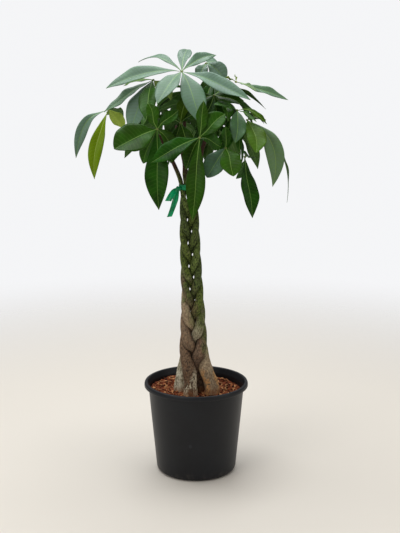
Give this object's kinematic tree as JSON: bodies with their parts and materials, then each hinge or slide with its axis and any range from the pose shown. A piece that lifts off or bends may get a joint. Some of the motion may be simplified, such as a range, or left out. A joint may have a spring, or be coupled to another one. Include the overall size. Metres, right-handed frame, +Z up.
{
  "type": "potted money tree",
  "caption": "House plant with plaited slender trunks tied below a crown of long-stalked, hand-shaped leaves, standing in a round nursery pot filled with soil.",
  "frame": {"origin": "middle of the pot's flat underside, at table level", "axes": "+Z up along the pot's axis, -Y the plant's front, +X to the right seen from the front"},
  "size_m": [0.5245, 0.4232, 1.0687],
  "materials": {
    "pot_plastic": "dark charcoal moulded plastic with a soft sheen and faint scuffs",
    "potting_mix": "reddish-brown coir fibre and chips, damp and matte",
    "bark": "young bark, grey-brown and cracked at the foot, olive green above",
    "tape": "emerald green garden tape with a sharp shine",
    "leaf": "deep green, waxy satin blade with pale veins"
  },
  "bodies": {
    "root": {"pot": "pot_plastic", "soil": "potting_mix", "ribbon": "tape", "stem_1": "bark", "stem_2": "bark", "stem_3": "bark", "stem_4": "bark", "stem_5": "bark", "leaf_01": "leaf", "leaf_02": "leaf", "leaf_03": "leaf", "leaf_04": "leaf", "leaf_05": "leaf", "leaf_06": "leaf", "leaf_07": "leaf", "leaf_08": "leaf", "leaf_09": "leaf", "leaf_10": "leaf", "leaf_11": "leaf", "leaf_12": "leaf", "leaf_13": "leaf", "leaf_14": "leaf", "leaf_15": "leaf", "leaf_16": "leaf", "leaf_17": "leaf", "leaf_18": "leaf", "leaf_19": "leaf", "leaf_20": "leaf", "leaf_21": "leaf", "leaf_22": "leaf", "leaf_23": "leaf", "leaf_24": "leaf"}
  },
  "joints": []
}
